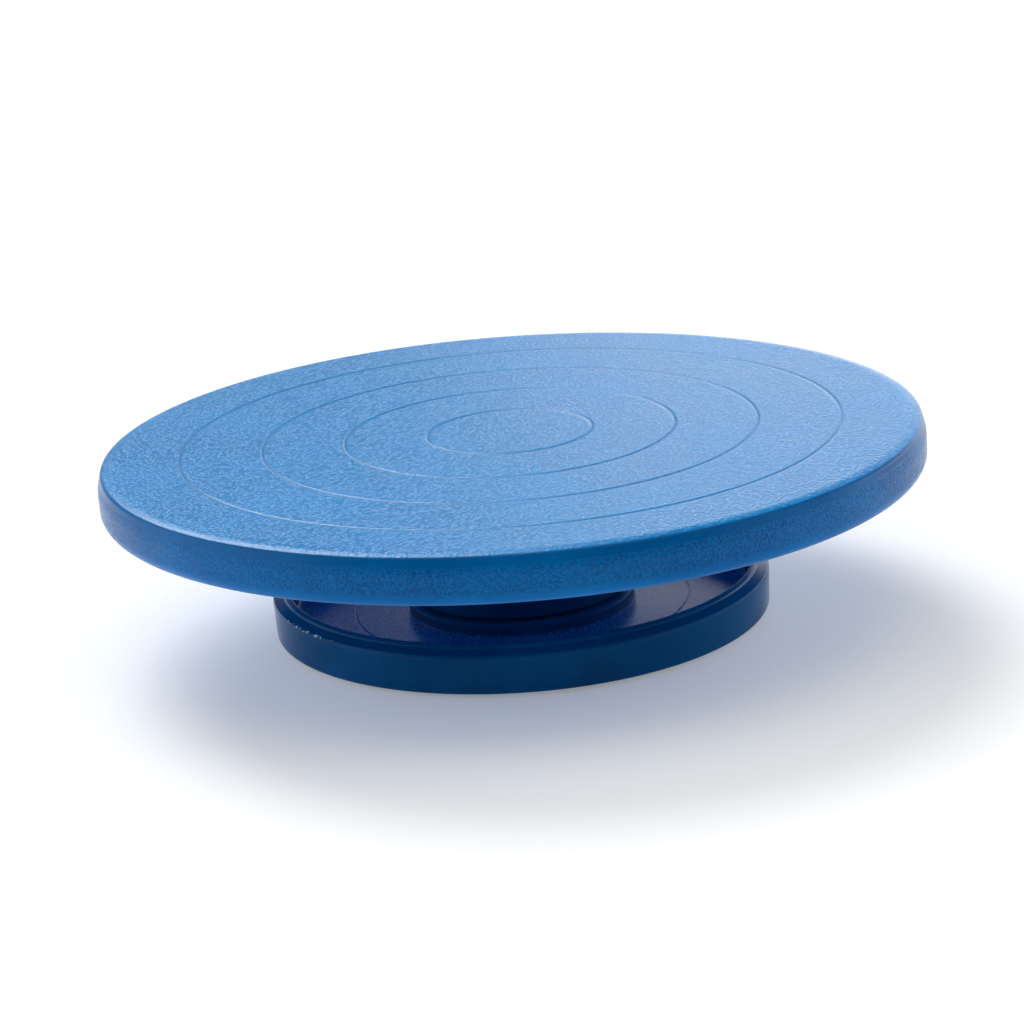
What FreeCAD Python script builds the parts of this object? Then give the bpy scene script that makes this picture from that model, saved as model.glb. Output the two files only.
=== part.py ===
import FreeCAD
import Part

import math
import os

# Sculpting turntable: a round cast head that spins on two ball bearings over a shallow cast base.
# Frame: millimetres, +Z up along the spin axis, origin on the surface that the feet stand on.

# Driving dimensions
TOTAL_HEIGHT = 70.0
FOOT_PROJECTION = 1.2
HEAD_RADIUS = 150.0
HEAD_DEPTH = 17.5
BASE_RADIUS = 91.2
HUB_RADIUS = 38.4
BEARING_BORE, BEARING_OUTSIDE, BEARING_WIDTH = 20.0, 47.0, 14.0
SCREW_CLEARANCE = 0.05

# Head casting
HEAD_TOP = TOTAL_HEIGHT
HEAD_BOTTOM = HEAD_TOP - HEAD_DEPTH
HEAD_TOP_ROUND, HEAD_BOTTOM_ROUND = 3.5, 4.5
WEB_THICKNESS = 4.5
WEB_UNDERSIDE = HEAD_TOP - WEB_THICKNESS
RIM_INSIDE_BOTTOM, RIM_INSIDE_TOP, RIM_FILLET = 144.4, 142.8, 3.0
RING_STEP, RING_COUNT = 30.0, 4
RING_GROOVE_HALF_WIDTH, RING_GROOVE_DEPTH = 0.45, 0.35
RIB_COUNT, RIB_THICKNESS = 6, 4.0
RIB_BOTTOM = HEAD_BOTTOM + 4.5
BOSS_RADIUS, BOSS_DRAFT, BOSS_FILLET = 39.5, 1.0, 4.0
BOSS_BOTTOM = WEB_UNDERSIDE - 5.5

# Dust skirt: a cup clamped between the head's boss and the spindle's flange
SKIRT_WALL, SKIRT_FLANGE, SKIRT_EDGE_ROUND = 2.5, 2.0, 0.9
SKIRT_FLANGE_BOTTOM = BOSS_BOTTOM - SKIRT_FLANGE

# Spindle
JOURNAL_RADIUS = BEARING_BORE / 2
SPINDLE_FLANGE_RADIUS, SPINDLE_FLANGE_DEPTH = 25.0, 6.0
SPINDLE_FLANGE_BOTTOM = SKIRT_FLANGE_BOTTOM - SPINDLE_FLANGE_DEPTH
SPINDLE_SHOULDER_RADIUS, SPINDLE_SHOULDER_DEPTH = 13.5, 3.0
SPIGOT_DEPTH = 3.6
CENTRE_DRILL_RADIUS = 3.0

# Bearings: deep-groove, 20 x 47 x 14, two of them either side of a shoulder in the housing
UPPER_BEARING_TOP = SPINDLE_FLANGE_BOTTOM - SPINDLE_SHOULDER_DEPTH
UPPER_BEARING_MIDDLE = UPPER_BEARING_TOP - BEARING_WIDTH / 2
BEARING_GAP = 8.0
LOWER_BEARING_MIDDLE = UPPER_BEARING_MIDDLE - BEARING_WIDTH - BEARING_GAP
LOWER_BEARING_BOTTOM = LOWER_BEARING_MIDDLE - BEARING_WIDTH / 2
BALL_RADIUS, BALL_COUNT, BALL_CIRCLE_RADIUS = 3.969, 8, 16.75
RACE_CLEARANCE = 0.06
INNER_RACE_RADIUS, OUTER_RACE_RADIUS = 14.0, 20.0
RACE_CORNER = 0.8
SHIELD_THICKNESS, SHIELD_INSET, SHIELD_SEAT = 0.4, 0.6, 0.75
CAGE_INNER, CAGE_OUTER, CAGE_BACK, CAGE_FRONT = 15.7, 17.8, 5.4, 2.2

# Nut stack under the lower bearing
WASHER_RADIUS, WASHER_THICKNESS, WASHER_TEETH = 15.0, 1.0, 12
LOCKNUT_RADIUS, LOCKNUT_DEPTH, LOCKNUT_SLOTS = 16.0, 6.0, 4
SPINDLE_END = LOWER_BEARING_BOTTOM - WASHER_THICKNESS - LOCKNUT_DEPTH - 0.6

# Base casting
BASE_EDGE = FOOT_PROJECTION
FLOOR_TOP, FLOOR_THICKNESS = BASE_EDGE + 4.0, 3.0
FLOOR_BOTTOM = FLOOR_TOP - FLOOR_THICKNESS
LIP_TOP = BASE_EDGE + 17.0
WALL_TOP = BASE_EDGE + 14.0
FLOOR_RING_RADIUS, FLOOR_RING_WIDTH, FLOOR_RING_DEPTH = 61.5, 1.1, 0.5

# Bearing housing
HOUSING_RADIUS = 31.0
HOUSING_FLANGE_RADIUS, HOUSING_FLANGE_TOP = 41.7, FLOOR_TOP + 4.7
HOUSING_SPIGOT_RADIUS = 33.0
SHOULDER_BORE = 20.5
HOUSING_TOP = UPPER_BEARING_TOP + 0.4
SKIRT_BOTTOM = HOUSING_FLANGE_TOP + 0.7

# Bottom cover and feet
COVER_RADIUS, COVER_THICKNESS = 30.0, 1.8
FOOT_RADIUS, FOOT_CIRCLE_RADIUS, FOOT_COUNT = 9.0, 74.0, 4

# Screws: (thread radius, head radius, length, circle radius, count)
SPINDLE_SCREW = (2.5, 4.6, 13.0, 19.4, 4)
HOUSING_SCREW = (2.0, 3.9, 6.5, 37.2, 4)
COVER_SCREW = (1.5, 2.8, 6.0, 26.8, 3)

AXIS = FreeCAD.Vector(0, 0, 1)
ORIGIN = FreeCAD.Vector(0, 0, 0)


def point(radius, height):
    return FreeCAD.Vector(radius, 0, height)


def rounded_face(corners):
    """Closed face in the XZ plane from (radius, height) or (radius, height, corner round) corners."""
    ends = []
    for i, corner in enumerate(corners):
        here = point(*corner[:2])
        cut = corner[2] if len(corner) > 2 else 0.0
        if not cut:
            ends.append((here, None, here))
            continue
        to_last = (point(*corners[i - 1][:2]) - here).normalize()
        to_next = (point(*corners[(i + 1) % len(corners)][:2]) - here).normalize()
        half = to_last.getAngle(to_next) / 2
        reach = cut / math.tan(half)
        middle = (to_last + to_next).normalize() * (cut / math.sin(half) - cut)
        ends.append((here + to_last * reach, here + middle, here + to_next * reach))
    edges = []
    for i, (start, middle, end) in enumerate(ends):
        if middle is not None:
            edges.append(Part.Arc(start, middle, end).toShape())
        following = ends[(i + 1) % len(ends)][0]
        if (following - end).Length > 1e-7:
            edges.append(Part.makeLine(end, following))
    return Part.Face(Part.Wire(edges))


def turned(corners):
    """Solid of revolution about the spin axis."""
    return rounded_face(corners).revolve(ORIGIN, AXIS, 360)


def cylinder(radius, bottom, top, x=0.0, y=0.0):
    return Part.makeCylinder(radius, top - bottom, FreeCAD.Vector(x, y, bottom))


def ring(inner, outer, bottom, top):
    return cylinder(outer, bottom, top).cut(cylinder(inner, bottom - 1, top + 1))


def around(shape, count, start=0.0):
    """Copies of shape at even angles about the spin axis."""
    copies = []
    for i in range(count):
        copy = shape.copy()
        copy.rotate(ORIGIN, AXIS, start + 360.0 * i / count)
        copies.append(copy)
    return copies


def hex_prism(across_flats, bottom, top, x):
    corner = across_flats / math.sqrt(3)
    angles = [math.radians(60 * i) for i in range(7)]
    points = [FreeCAD.Vector(x + corner * math.cos(a), corner * math.sin(a), bottom) for a in angles]
    return Part.Face(Part.makePolygon(points)).extrude(FreeCAD.Vector(0, 0, top - bottom))


def countersunk_form(size, seat, slack=0.0, depth=None):
    """A countersunk screw's outline solid pointing up from its seat, or with slack the hole that takes it."""
    thread, head, length, circle, _ = size
    thread, head = thread + slack, head + slack
    length = length + 2 * slack if depth is None else depth
    land = 0.25
    cone = head - thread
    face = rounded_face(
        [(0, 0), (head, 0), (head, land), (thread, land + cone), (thread, length), (0, length)]
    )
    form = face.revolve(ORIGIN, AXIS, 360)
    form.translate(FreeCAD.Vector(circle, 0, seat))
    return form


def countersunk_screws(size, seat, start=0.0):
    """Hexagon-socket countersunk screws on a circle, heads flush with the seat and pointing up."""
    thread, _, _, circle, count = size
    socket_depth = 0.9 * thread
    screw = countersunk_form(size, seat)
    screw = screw.cut(hex_prism(1.3 * thread, seat - 1, seat + socket_depth, circle))
    return around(screw, count, start)


def countersunk_holes(size, seat, start=0.0, depth=None):
    return around(countersunk_form(size, seat, SCREW_CLEARANCE, depth), size[4], start)


def wheel_head():
    """Cast plate: flat top with ring grooves, a deep rounded rim, radial ribs and a central boss below."""
    body = turned(
        [
            (0, HEAD_TOP),
            (HEAD_RADIUS, HEAD_TOP, HEAD_TOP_ROUND),
            (HEAD_RADIUS, HEAD_BOTTOM, HEAD_BOTTOM_ROUND),
            (RIM_INSIDE_BOTTOM, HEAD_BOTTOM, 0.8),
            (RIM_INSIDE_TOP, WEB_UNDERSIDE, RIM_FILLET),
            (BOSS_RADIUS + BOSS_DRAFT, WEB_UNDERSIDE, BOSS_FILLET),
            (BOSS_RADIUS, BOSS_BOTTOM, 0.6),
            (0, BOSS_BOTTOM),
        ]
    )
    ribs = around(head_rib(), RIB_COUNT)
    body = body.fuse(ribs)
    for i in range(RING_COUNT):
        body = body.cut(ring_groove(RING_STEP * (i + 1)))
    body = body.cut(cylinder(JOURNAL_RADIUS + 0.05, BOSS_BOTTOM - 1, BOSS_BOTTOM + SPIGOT_DEPTH + 0.4))
    thread, _, length, circle, count = SPINDLE_SCREW
    tapped_top = SPINDLE_FLANGE_BOTTOM + length + 1.0
    tapped = cylinder(thread + SCREW_CLEARANCE, BOSS_BOTTOM - 1, tapped_top, x=circle)
    return body.cut(around(tapped, count, 45))


def head_rib():
    """One radial rib under the web, from the boss into the rim."""
    start = BOSS_RADIUS - 4
    end = RIM_INSIDE_TOP + 0.5
    shoulder = BOSS_RADIUS + 3
    outline = [
        (start, BOSS_BOTTOM + 1.0),
        (shoulder, BOSS_BOTTOM + 1.0),
        (shoulder + 8, RIB_BOTTOM),
        (end, RIB_BOTTOM),
        (end, WEB_UNDERSIDE + 1.0),
        (start, WEB_UNDERSIDE + 1.0),
    ]
    face = rounded_face(outline)
    face.translate(FreeCAD.Vector(0, -RIB_THICKNESS / 2, 0))
    return face.extrude(FreeCAD.Vector(0, RIB_THICKNESS, 0))


def ring_groove(radius):
    """Cutter for one shallow V groove with a rounded floor in the head's top."""
    half, depth = RING_GROOVE_HALF_WIDTH, RING_GROOVE_DEPTH
    above = 1.0
    flare = half * (depth + above) / depth
    return turned(
        [
            (radius - flare, HEAD_TOP + above),
            (radius, HEAD_TOP - depth, 0.12),
            (radius + flare, HEAD_TOP + above),
        ]
    )


def dust_skirt():
    """Turned cup that covers the bearing housing and spins with the head."""
    cup = turned(
        [
            (JOURNAL_RADIUS + 0.05, BOSS_BOTTOM),
            (HUB_RADIUS, BOSS_BOTTOM, 0.5),
            (HUB_RADIUS, SKIRT_BOTTOM, SKIRT_EDGE_ROUND),
            (HUB_RADIUS - SKIRT_WALL, SKIRT_BOTTOM, SKIRT_EDGE_ROUND),
            (HUB_RADIUS - SKIRT_WALL, SKIRT_FLANGE_BOTTOM, 1.5),
            (JOURNAL_RADIUS + 0.05, SKIRT_FLANGE_BOTTOM),
        ]
    )
    thread, _, _, circle, count = SPINDLE_SCREW
    hole = cylinder(thread + 0.2, SKIRT_FLANGE_BOTTOM - 1, BOSS_BOTTOM + 1, x=circle)
    return cup.cut(around(hole, count, 45))


def spindle():
    """Turned steel spindle: bolting flange, bearing shoulder, ground journal and threaded end."""
    relief_top = LOWER_BEARING_BOTTOM - WASHER_THICKNESS
    thread_radius = JOURNAL_RADIUS - 0.15
    body = turned(
        [
            (0, BOSS_BOTTOM + SPIGOT_DEPTH),
            (JOURNAL_RADIUS, BOSS_BOTTOM + SPIGOT_DEPTH, 0.6),
            (JOURNAL_RADIUS, SKIRT_FLANGE_BOTTOM),
            (SPINDLE_FLANGE_RADIUS, SKIRT_FLANGE_BOTTOM, 0.5),
            (SPINDLE_FLANGE_RADIUS, SPINDLE_FLANGE_BOTTOM, 0.8),
            (SPINDLE_SHOULDER_RADIUS, SPINDLE_FLANGE_BOTTOM, 0.6),
            (SPINDLE_SHOULDER_RADIUS, UPPER_BEARING_TOP),
            (JOURNAL_RADIUS, UPPER_BEARING_TOP),
            (JOURNAL_RADIUS, relief_top),
            (thread_radius, relief_top),
            (thread_radius, SPINDLE_END, 0.8),
            (0, SPINDLE_END),
        ]
    )
    centre_drill = Part.makeCone(
        CENTRE_DRILL_RADIUS, 0, CENTRE_DRILL_RADIUS * math.sqrt(3), FreeCAD.Vector(0, 0, SPINDLE_END)
    )
    body = body.cut(centre_drill)
    return body.cut(countersunk_holes(SPINDLE_SCREW, SPINDLE_FLANGE_BOTTOM, 45))


def inner_race(middle):
    low, high = middle - BEARING_WIDTH / 2, middle + BEARING_WIDTH / 2
    body = turned(
        [
            (JOURNAL_RADIUS, low, RACE_CORNER),
            (INNER_RACE_RADIUS, low, 0.3),
            (INNER_RACE_RADIUS, high, 0.3),
            (JOURNAL_RADIUS, high, RACE_CORNER),
        ]
    )
    return body.cut(ball_track(middle))


def outer_race(middle):
    low, high = middle - BEARING_WIDTH / 2, middle + BEARING_WIDTH / 2
    outside = BEARING_OUTSIDE / 2
    seat = OUTER_RACE_RADIUS + SHIELD_SEAT
    recess = SHIELD_INSET + SHIELD_THICKNESS
    body = turned(
        [
            (outside, low, RACE_CORNER),
            (outside, high, RACE_CORNER),
            (seat, high),
            (seat, high - recess),
            (OUTER_RACE_RADIUS, high - recess),
            (OUTER_RACE_RADIUS, low + recess),
            (seat, low + recess),
            (seat, low),
        ]
    )
    return body.cut(ball_track(middle))


def ball_track(middle):
    """The groove that both races share, as a ring a little thicker than the balls."""
    return Part.makeTorus(BALL_CIRCLE_RADIUS, BALL_RADIUS + RACE_CLEARANCE, FreeCAD.Vector(0, 0, middle))


def shields(middle):
    """Two pressed rings that close the bearing, held by the outer race."""
    high = middle + BEARING_WIDTH / 2 - SHIELD_INSET
    low = middle - BEARING_WIDTH / 2 + SHIELD_INSET
    inner = INNER_RACE_RADIUS + 0.35
    outer = OUTER_RACE_RADIUS + SHIELD_SEAT - 0.02
    return Part.makeCompound(
        [
            ring(inner, outer, high - SHIELD_THICKNESS, high),
            ring(inner, outer, low, low + SHIELD_THICKNESS),
        ]
    )


def balls(middle):
    ball = Part.makeSphere(BALL_RADIUS, FreeCAD.Vector(BALL_CIRCLE_RADIUS, 0, middle))
    return Part.makeCompound(around(ball, BALL_COUNT))


def cage(middle):
    """Crown cage: one continuous back ring with an open pocket for each ball."""
    body = turned(
        [
            (CAGE_INNER, middle - CAGE_BACK, 0.3),
            (CAGE_OUTER, middle - CAGE_BACK, 0.3),
            (CAGE_OUTER, middle + CAGE_FRONT, 0.3),
            (CAGE_INNER, middle + CAGE_FRONT, 0.3),
        ]
    )
    pocket = Part.makeSphere(BALL_RADIUS + 0.12, FreeCAD.Vector(BALL_CIRCLE_RADIUS, 0, middle))
    return body.cut(around(pocket, BALL_COUNT))


def race_spacer():
    low = LOWER_BEARING_MIDDLE + BEARING_WIDTH / 2
    high = UPPER_BEARING_MIDDLE - BEARING_WIDTH / 2
    inner, outer = JOURNAL_RADIUS + 0.1, INNER_RACE_RADIUS - 1.0
    return turned([(inner, low, 0.4), (outer, low, 0.4), (outer, high, 0.4), (inner, high, 0.4)])


def lock_washer():
    """Flat washer with teeth round its rim."""
    high = LOWER_BEARING_BOTTOM
    low = high - WASHER_THICKNESS
    body = ring(JOURNAL_RADIUS + 0.1, WASHER_RADIUS, low, high)
    notch = Part.makeBox(3.0, 2.4, 3.0, FreeCAD.Vector(WASHER_RADIUS - 1.6, -1.2, low - 1))
    return body.cut(around(notch, WASHER_TEETH))


def spindle_locknut():
    """Slotted round nut on the spindle's threaded end."""
    high = LOWER_BEARING_BOTTOM - WASHER_THICKNESS
    low = high - LOCKNUT_DEPTH
    inner = JOURNAL_RADIUS - 0.1
    body = turned(
        [
            (inner, low, 0.5),
            (LOCKNUT_RADIUS, low, 0.8),
            (LOCKNUT_RADIUS, high, 0.8),
            (inner, high, 0.5),
        ]
    )
    slot = Part.makeBox(4.0, 4.5, LOCKNUT_DEPTH + 2, FreeCAD.Vector(LOCKNUT_RADIUS - 2.4, -2.25, low - 1))
    return body.cut(around(slot, LOCKNUT_SLOTS, 45))


def bearing_housing():
    """Turned housing: two bearing seats either side of a shoulder, and a flange on the base's floor."""
    bore = BEARING_OUTSIDE / 2
    upper_seat = UPPER_BEARING_MIDDLE - BEARING_WIDTH / 2
    lower_seat = LOWER_BEARING_MIDDLE + BEARING_WIDTH / 2
    cover_seat = FLOOR_BOTTOM + COVER_THICKNESS + 0.05
    body = turned(
        [
            (bore, HOUSING_TOP, 0.4),
            (HOUSING_RADIUS, HOUSING_TOP, 1.2),
            (HOUSING_RADIUS, HOUSING_FLANGE_TOP, 2.0),
            (HOUSING_FLANGE_RADIUS - 1.6, HOUSING_FLANGE_TOP),
            (HOUSING_FLANGE_RADIUS, HOUSING_FLANGE_TOP, 1.5),
            (HOUSING_FLANGE_RADIUS, FLOOR_TOP),
            (HOUSING_SPIGOT_RADIUS, FLOOR_TOP),
            (HOUSING_SPIGOT_RADIUS, FLOOR_BOTTOM, 0.4),
            (COVER_RADIUS + 0.1, FLOOR_BOTTOM),
            (COVER_RADIUS + 0.1, cover_seat),
            (bore, cover_seat),
            (bore, lower_seat),
            (SHOULDER_BORE, lower_seat),
            (SHOULDER_BORE, upper_seat),
            (bore, upper_seat),
        ]
    )
    body = body.cut(countersunk_holes(HOUSING_SCREW, FLOOR_BOTTOM, 45))
    thread, _, length, circle, count = COVER_SCREW
    tapped = cylinder(thread + SCREW_CLEARANCE, FLOOR_BOTTOM - 1, FLOOR_BOTTOM + length + 0.6, x=circle)
    return body.cut(around(tapped, count, 90))


def base_dish():
    """Cast base: flat floor, upright wall, sloping shoulder and a narrow raised lip."""
    inside = BASE_RADIUS - 6.6
    body = turned(
        [
            (HOUSING_SPIGOT_RADIUS + 0.05, FLOOR_TOP),
            (inside, FLOOR_TOP, 3.0),
            (inside + 0.7, LIP_TOP, 0.5),
            (BASE_RADIUS - 4.1, LIP_TOP, 0.5),
            (BASE_RADIUS - 3.8, LIP_TOP - 1.4),
            (BASE_RADIUS - 1.2, WALL_TOP + 0.5, 1.2),
            (BASE_RADIUS, WALL_TOP - 1.2, 1.4),
            (BASE_RADIUS - 0.5, BASE_EDGE, 1.2),
            (BASE_RADIUS - 5.6, BASE_EDGE, 0.6),
            (BASE_RADIUS - 6.6, FLOOR_BOTTOM),
            (HOUSING_SPIGOT_RADIUS + 0.05, FLOOR_BOTTOM),
        ]
    )
    half = FLOOR_RING_WIDTH / 2
    groove = turned(
        [
            (FLOOR_RING_RADIUS - half, FLOOR_TOP + 1),
            (FLOOR_RING_RADIUS - half, FLOOR_TOP - FLOOR_RING_DEPTH, 0.2),
            (FLOOR_RING_RADIUS + half, FLOOR_TOP - FLOOR_RING_DEPTH, 0.2),
            (FLOOR_RING_RADIUS + half, FLOOR_TOP + 1),
        ]
    )
    body = body.cut(groove)
    return body.cut(countersunk_holes(HOUSING_SCREW, FLOOR_BOTTOM, 45))


def bottom_cover():
    """Thin disc that closes the housing from below."""
    disc = turned(
        [
            (0, FLOOR_BOTTOM),
            (COVER_RADIUS, FLOOR_BOTTOM, 0.3),
            (COVER_RADIUS, FLOOR_BOTTOM + COVER_THICKNESS, 0.3),
            (0, FLOOR_BOTTOM + COVER_THICKNESS),
        ]
    )
    return disc.cut(countersunk_holes(COVER_SCREW, FLOOR_BOTTOM, 90))


def rubber_foot(index):
    """Stick-on pad under the base's floor."""
    pad = turned(
        [
            (0, 0),
            (FOOT_RADIUS, 0, 0.6),
            (FOOT_RADIUS + 0.4, FLOOR_BOTTOM),
            (0, FLOOR_BOTTOM),
        ]
    )
    pad.translate(FreeCAD.Vector(FOOT_CIRCLE_RADIUS, 0, 0))
    return around(pad, FOOT_COUNT, 45)[index]


def nodes():
    made = {
        "wheel_head": wheel_head(),
        "dust_skirt": dust_skirt(),
        "spindle": spindle(),
        "spindle_screws": Part.makeCompound(countersunk_screws(SPINDLE_SCREW, SPINDLE_FLANGE_BOTTOM, 45)),
        "race_spacer": race_spacer(),
        "lock_washer": lock_washer(),
        "spindle_locknut": spindle_locknut(),
        "base_dish": base_dish(),
        "bearing_housing": bearing_housing(),
        "housing_screws": Part.makeCompound(countersunk_screws(HOUSING_SCREW, FLOOR_BOTTOM, 45)),
        "bottom_cover": bottom_cover(),
        "cover_screws": Part.makeCompound(countersunk_screws(COVER_SCREW, FLOOR_BOTTOM, 90)),
    }
    for name, middle in (("upper", UPPER_BEARING_MIDDLE), ("lower", LOWER_BEARING_MIDDLE)):
        made[f"{name}_inner_race"] = inner_race(middle)
        made[f"{name}_outer_race"] = outer_race(middle)
        made[f"{name}_shields"] = shields(middle)
        made[f"{name}_cage"] = cage(middle)
        made[f"{name}_balls"] = balls(middle)
    for i in range(FOOT_COUNT):
        made[f"rubber_foot_{i + 1}"] = rubber_foot(i)
    return made


def main():
    os.makedirs("parts", exist_ok=True)
    for name, shape in nodes().items():
        if not shape.isValid():
            print("not valid:", name)
        shape.exportStep(f"parts/{name}.step")
        box = shape.BoundBox
        print(f"{name:20s} solids {len(shape.Solids)}  z {box.ZMin:6.2f} to {box.ZMax:6.2f}")


main()
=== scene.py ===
import math

import bmesh
import bpy
from mathutils import Matrix, Vector


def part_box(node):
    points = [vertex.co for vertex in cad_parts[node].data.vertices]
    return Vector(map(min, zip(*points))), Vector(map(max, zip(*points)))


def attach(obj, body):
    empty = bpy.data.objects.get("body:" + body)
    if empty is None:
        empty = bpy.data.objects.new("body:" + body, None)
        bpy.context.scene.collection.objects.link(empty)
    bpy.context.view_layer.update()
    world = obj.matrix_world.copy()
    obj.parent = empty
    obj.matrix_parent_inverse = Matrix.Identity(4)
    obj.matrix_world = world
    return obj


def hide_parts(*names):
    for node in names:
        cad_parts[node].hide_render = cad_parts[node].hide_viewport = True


bl_info = {
    "name": "Sculpting turntable",
    "version": (1, 0, 0),
    "blender": (4, 5, 0),
    "location": "View3D > Sidebar > Turntable",
    "description": "Builds a painted metal sculpting turntable around its packed frame",
    "category": "Add Mesh",
}

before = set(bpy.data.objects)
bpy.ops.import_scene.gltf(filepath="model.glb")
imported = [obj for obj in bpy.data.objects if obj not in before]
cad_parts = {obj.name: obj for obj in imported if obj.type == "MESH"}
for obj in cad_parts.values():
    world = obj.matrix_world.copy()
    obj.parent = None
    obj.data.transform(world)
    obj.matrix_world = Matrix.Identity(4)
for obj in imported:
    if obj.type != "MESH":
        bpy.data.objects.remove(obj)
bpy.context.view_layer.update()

MM = 0.001
TURN = 2 * math.pi
ROUND_COLUMNS = 192  # points round a turned piece
ARC_STEP = math.radians(12)  # most that one segment of a rounded corner turns
SUPPORT = 0.25 * MM  # how far a supporting ring stands from a corner, so that flats shade flat

# Head casting
HEAD_BOTTOM, HEAD_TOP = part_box("wheel_head")[0].z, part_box("wheel_head")[1].z
HEAD_RADIUS = 150 * MM
WEB_UNDERSIDE = HEAD_TOP - 4.5 * MM
BOSS_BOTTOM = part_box("dust_skirt")[1].z
BOSS_RADIUS = 39.5 * MM
RING_STEP, RING_COUNT = 30 * MM, 4
GROOVE_STEPS = 4
RIM_INSIDE_BOTTOM, RIM_INSIDE_TOP = 144.4 * MM, 142.8 * MM
RIM_WALL_START = (144.15 * MM, HEAD_BOTTOM + 2 * MM)
RIB_COUNT, BETWEEN_RIBS = 6, 40
RIB_BOTTOM = HEAD_BOTTOM + 4.5 * MM
RIB_DRAFT, RIB_FILLET = 0.12 * MM, 2.2 * MM
RIB_RUN = (138 * MM, 56 * MM)  # radii between which a rib's crest is level
SPIGOT_DEPTH = 3.6 * MM

# Hub
HUB_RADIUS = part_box("dust_skirt")[1].x
SKIRT_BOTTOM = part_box("dust_skirt")[0].z
SKIRT_WALL = 2.5 * MM
SKIRT_FLANGE_BOTTOM = BOSS_BOTTOM - 2 * MM
SPINDLE_FLANGE_BOTTOM = SKIRT_FLANGE_BOTTOM - 6 * MM
SPIGOT_RADIUS = 10 * MM
FIT = 0.05 * MM

# Base casting and housing
BASE_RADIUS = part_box("base_dish")[1].x
BASE_EDGE, LIP_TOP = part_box("base_dish")[0].z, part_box("base_dish")[1].z
FLOOR_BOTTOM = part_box("bearing_housing")[0].z
FLOOR_TOP = FLOOR_BOTTOM + 3 * MM
HOUSING_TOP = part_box("bearing_housing")[1].z
HOUSING_FLANGE_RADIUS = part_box("bearing_housing")[1].x
HOUSING_FLANGE_TOP = FLOOR_TOP + 4.7 * MM
HOUSING_RADIUS, HOUSING_SPIGOT_RADIUS = 31 * MM, 33 * MM
COVER_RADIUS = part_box("bottom_cover")[1].x
COVER_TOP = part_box("bottom_cover")[1].z
FLOOR_RING_RADIUS = 61.5 * MM
BEARINGS = ("upper", "lower")

# Painted edges
FLAT_TOP_END = HEAD_RADIUS - 4.6 * MM  # where the head's top starts to round over
TRAY_END = BASE_RADIUS - 6.6 * MM
LIP_CORNER = (BASE_RADIUS - 0.5 * MM, LIP_TOP - 3.1 * MM)  # middle of the base's chipped outer edge

# Countersunk screws: (thread radius, head radius, length, circle radius, count)
SPINDLE_SCREWS = (2.5 * MM, 4.6 * MM, 13.0 * MM, 19.4 * MM, 4)
HOUSING_SCREWS = (2.0 * MM, 3.9 * MM, 6.5 * MM, 37.2 * MM, 4)
COVER_SCREWS = (1.5 * MM, 2.8 * MM, 6.0 * MM, 26.8 * MM, 3)
LAND = 0.25 * MM  # straight rim of a countersunk head
THREAD_STEPS = 6  # rings to each turn of a thread

CAMERA_YAW, CAMERA_PITCH = math.radians(0.066), math.radians(-1.405)

# Soft boxes round the object: (azimuth, elevation, inner angle, outer angle, power), in degrees.
# Azimuth 0 is straight behind the object and 90 is to its right.
SOFT_BOXES = (
    (-20, 40, 5, 20, 10.0),
    (0, 90, 15, 45, 1.0),
    (-90, 15, 10, 45, 1.5),
    (90, 15, 10, 45, 1.0),
)


# Sizes and colours that a user would change


class HeadSettings(bpy.types.PropertyGroup):
    groove_half_width: bpy.props.FloatProperty(
        name="Groove half width",
        description="Half the width of a centring ring at the top of the head",
        default=0.85 * MM,
        min=0.2 * MM,
        unit="LENGTH",
    )
    groove_depth: bpy.props.FloatProperty(
        name="Groove depth",
        description="How deep a centring ring is turned into the head",
        default=0.17 * MM,
        min=0.0,
        unit="LENGTH",
    )
    top_round: bpy.props.FloatProperty(
        name="Top edge round",
        description="Radius of the head's upper edge",
        default=3.5 * MM,
        min=1.0 * MM,
        unit="LENGTH",
    )
    bottom_round: bpy.props.FloatProperty(
        name="Bottom edge round",
        description="Radius of the head's lower outer edge",
        default=4.5 * MM,
        min=1.0 * MM,
        unit="LENGTH",
    )
    rib_half_width: bpy.props.FloatProperty(
        name="Rib half width",
        description="Half the thickness of a rib under the head",
        default=2.0 * MM,
        min=1.0 * MM,
        unit="LENGTH",
    )


class PaintSettings(bpy.types.PropertyGroup):
    head_colour: bpy.props.FloatVectorProperty(
        name="Head colour",
        description="Pebbled paint on the head",
        default=(0.0, 0.308, 0.80),
        min=0.0,
        max=1.0,
        subtype="COLOR",
    )
    # Painted shade: the head's blue, darkened for the side of the head, which lies in shade. The paint there
    # is no thicker than on the top.
    rim_shade_colour: bpy.props.FloatVectorProperty(
        name="Rim colour",
        description="Pebbled paint on the head's side, where it lies thicker",
        default=(0.0, 0.136, 0.430),
        min=0.0,
        max=1.0,
        subtype="COLOR",
    )
    # Painted shade: a darker blue than the head's, which stands for the shade under the head's overhang on
    # the base, the hub and the housing.
    shaded_base_colour: bpy.props.FloatVectorProperty(
        name="Base colour",
        description="Gloss paint on the base, the hub and the housing",
        default=(0.0, 0.074, 0.215),
        min=0.0,
        max=1.0,
        subtype="COLOR",
    )
    pebble_size: bpy.props.FloatProperty(
        name="Pebble size",
        description="Distance from one pebble of the head's paint to the next",
        default=1.5 * MM,
        min=0.5 * MM,
        unit="LENGTH",
    )
    pebble_height: bpy.props.FloatProperty(
        name="Pebble height",
        description="How far a pebble of the head's paint stands out",
        default=0.25 * MM,
        min=0.0,
        unit="LENGTH",
    )


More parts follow.
